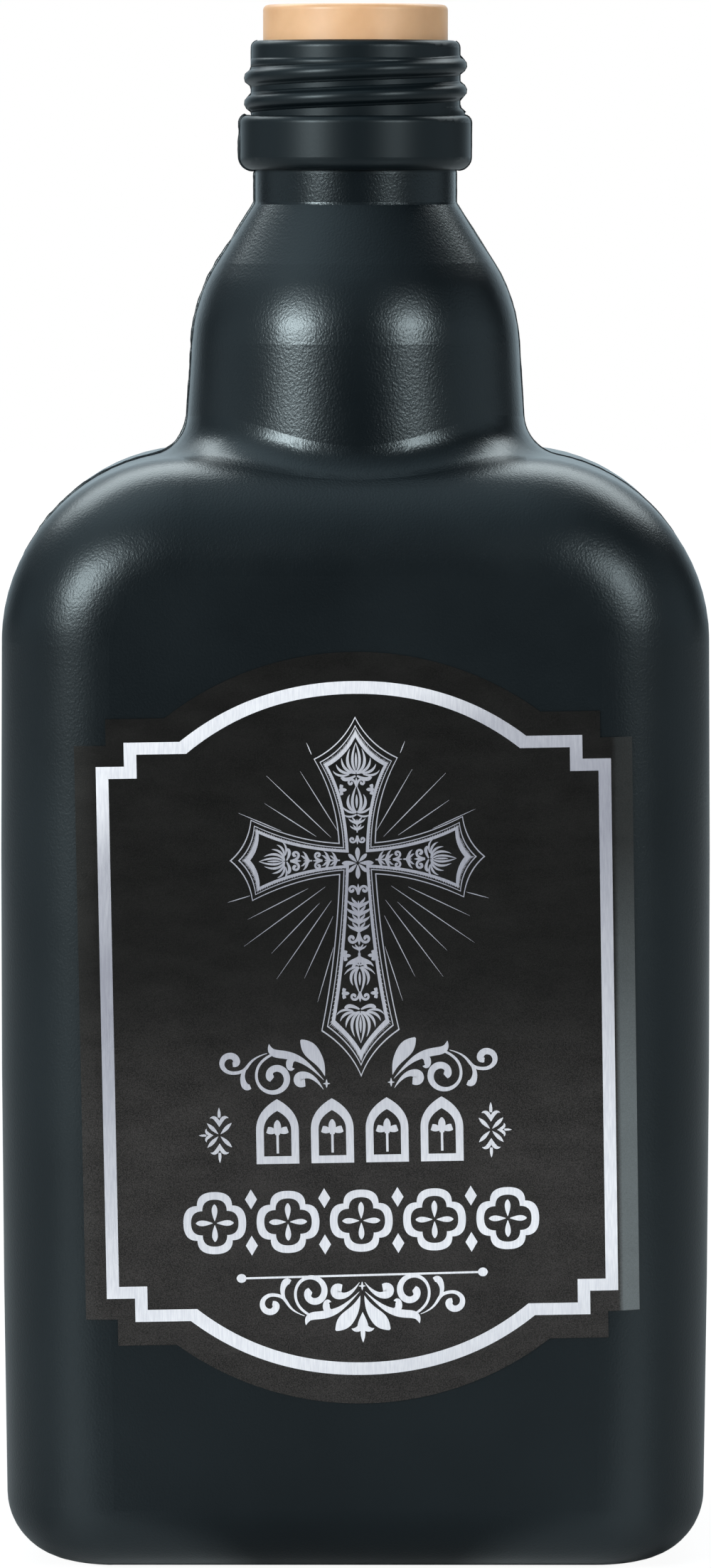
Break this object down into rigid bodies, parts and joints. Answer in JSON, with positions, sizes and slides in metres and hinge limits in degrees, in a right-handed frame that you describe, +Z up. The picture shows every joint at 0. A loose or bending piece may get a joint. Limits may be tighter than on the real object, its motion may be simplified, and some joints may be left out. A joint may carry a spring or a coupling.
{
  "type": "holy water bottle",
  "caption": "Flat-sided moulded plastic bottle with a bell neck, a collared screw-thread finish, a push-in stopper that lifts out, and a die-cut label on its front.",
  "frame": {"origin": "on the surface that the bottle stands on, under the neck's axis", "axes": "+Z up along the neck, -Y out of the labelled front face, +X to the right of someone who faces the label"},
  "size_m": [0.0892, 0.0602, 0.1956],
  "materials": {
    "black_plastic": "satin, fine orange peel",
    "tan_plastic": "smooth satin",
    "label_film": "matte print",
    "silver_foil": "fine-grained foil print"
  },
  "bodies": {
    "bottle": {"bottle_shell": "black_plastic", "front_label": "label_film"},
    "stopper": {"stopper": "tan_plastic"}
  },
  "joints": [
    {"name": "stopper_lift", "type": "slide", "parent": "bottle", "child": "stopper", "axis": [0, 0, 1], "range_m": [0, 0.016]}
  ]
}
